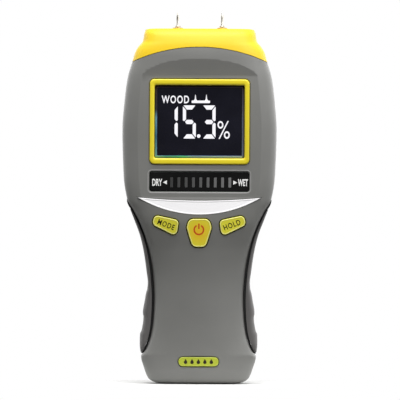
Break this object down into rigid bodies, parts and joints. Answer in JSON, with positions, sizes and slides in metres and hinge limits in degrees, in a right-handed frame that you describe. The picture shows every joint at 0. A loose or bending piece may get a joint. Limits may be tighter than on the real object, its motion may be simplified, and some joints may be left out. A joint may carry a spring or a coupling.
{
  "type": "moisture meter",
  "caption": "Hand-held pin moisture meter: waisted grey case with rubber grips, yellow electrode cap, framed display, bar graph window, push buttons and a sliding battery door.",
  "frame": {"origin": "middle of the lower end of the case, on the surface it stands on", "axes": "+Z from the lower end to the electrode pins, -Y out of the display, +X to the right of a person facing the display"},
  "size_m": [0.077, 0.0381, 0.1863],
  "materials": {
    "grey_abs": "satin",
    "yellow_abs": "satin",
    "grey_rubber": "matte",
    "black_rubber": "matte",
    "silver_paint": "satin",
    "clear_acrylic": "gloss",
    "smoked_acrylic": "gloss",
    "lcd_panel": "gloss",
    "white_diffuser": "matte",
    "pin_steel": "polished",
    "brass": "satin",
    "circuit_board": "satin",
    "chip_black": "satin",
    "red_wire": "satin",
    "battery_can": "satin"
  },
  "bodies": {
    "case": {"front_shell": "grey_abs", "rear_shell": "grey_abs", "head_cap": "yellow_abs", "display_bezel": "yellow_abs", "name_badge": "yellow_abs", "left_grip": "grey_rubber", "right_grip": "grey_rubber", "left_grip_liner": "black_rubber", "right_grip_liner": "black_rubber", "lens_gasket": "black_rubber", "battery_pad": "black_rubber", "crescent_trim": "silver_paint", "display_lens": "clear_acrylic", "scale_window": "smoked_acrylic", "lcd_glass": "lcd_panel", "lcd_backlight": "white_diffuser", "scale_light_1": "white_diffuser", "scale_light_2": "white_diffuser", "scale_light_3": "white_diffuser", "scale_light_4": "white_diffuser", "scale_light_5": "white_diffuser", "scale_light_6": "white_diffuser", "scale_light_7": "white_diffuser", "scale_light_8": "white_diffuser", "scale_light_9": "white_diffuser", "main_board": "circuit_board", "controller_chip": "chip_black", "buzzer": "chip_black", "smoothing_capacitor": "chip_black", "mode_switch": "chip_black", "power_switch": "chip_black", "hold_switch": "chip_black", "battery": "battery_can", "battery_snap": "chip_black", "battery_lead_red": "red_wire", "battery_lead_black": "chip_black", "left_pin_socket": "brass", "right_pin_socket": "brass", "left_pin_lead": "chip_black", "right_pin_lead": "chip_black", "case_screw_1": "pin_steel", "case_screw_2": "pin_steel", "case_screw_3": "pin_steel", "case_screw_4": "pin_steel", "board_screw_1": "pin_steel", "board_screw_2": "pin_steel"},
    "mode_key": {"mode_button": "yellow_abs", "mode_plunger": "chip_black"},
    "power_key": {"power_button": "yellow_abs", "power_plunger": "chip_black"},
    "hold_key": {"hold_button": "yellow_abs", "hold_plunger": "chip_black"},
    "door": {"battery_door": "grey_abs"},
    "left_electrode": {"left_pin": "pin_steel", "left_pin_washer": "brass"},
    "right_electrode": {"right_pin": "pin_steel", "right_pin_washer": "brass"}
  },
  "joints": [
    {"name": "mode_press", "type": "slide", "parent": "case", "child": "mode_key", "axis": [0, 1, 0], "range_m": [0, 0.0006], "stiffness_N_per_m": 400},
    {"name": "power_press", "type": "slide", "parent": "case", "child": "power_key", "axis": [0, 1, 0], "range_m": [0, 0.0006], "stiffness_N_per_m": 400},
    {"name": "hold_press", "type": "slide", "parent": "case", "child": "hold_key", "axis": [0, 1, 0], "range_m": [0, 0.0006], "stiffness_N_per_m": 400},
    {"name": "door_slide", "type": "slide", "parent": "case", "child": "door", "axis": [0, 0, -1], "range_m": [0, 0.062]},
    {"name": "left_pin_pull", "type": "slide", "parent": "case", "child": "left_electrode", "axis": [0, 0, 1], "range_m": [0, 0.01]},
    {"name": "right_pin_pull", "type": "slide", "parent": "case", "child": "right_electrode", "axis": [0, 0, 1], "range_m": [0, 0.01]}
  ]
}
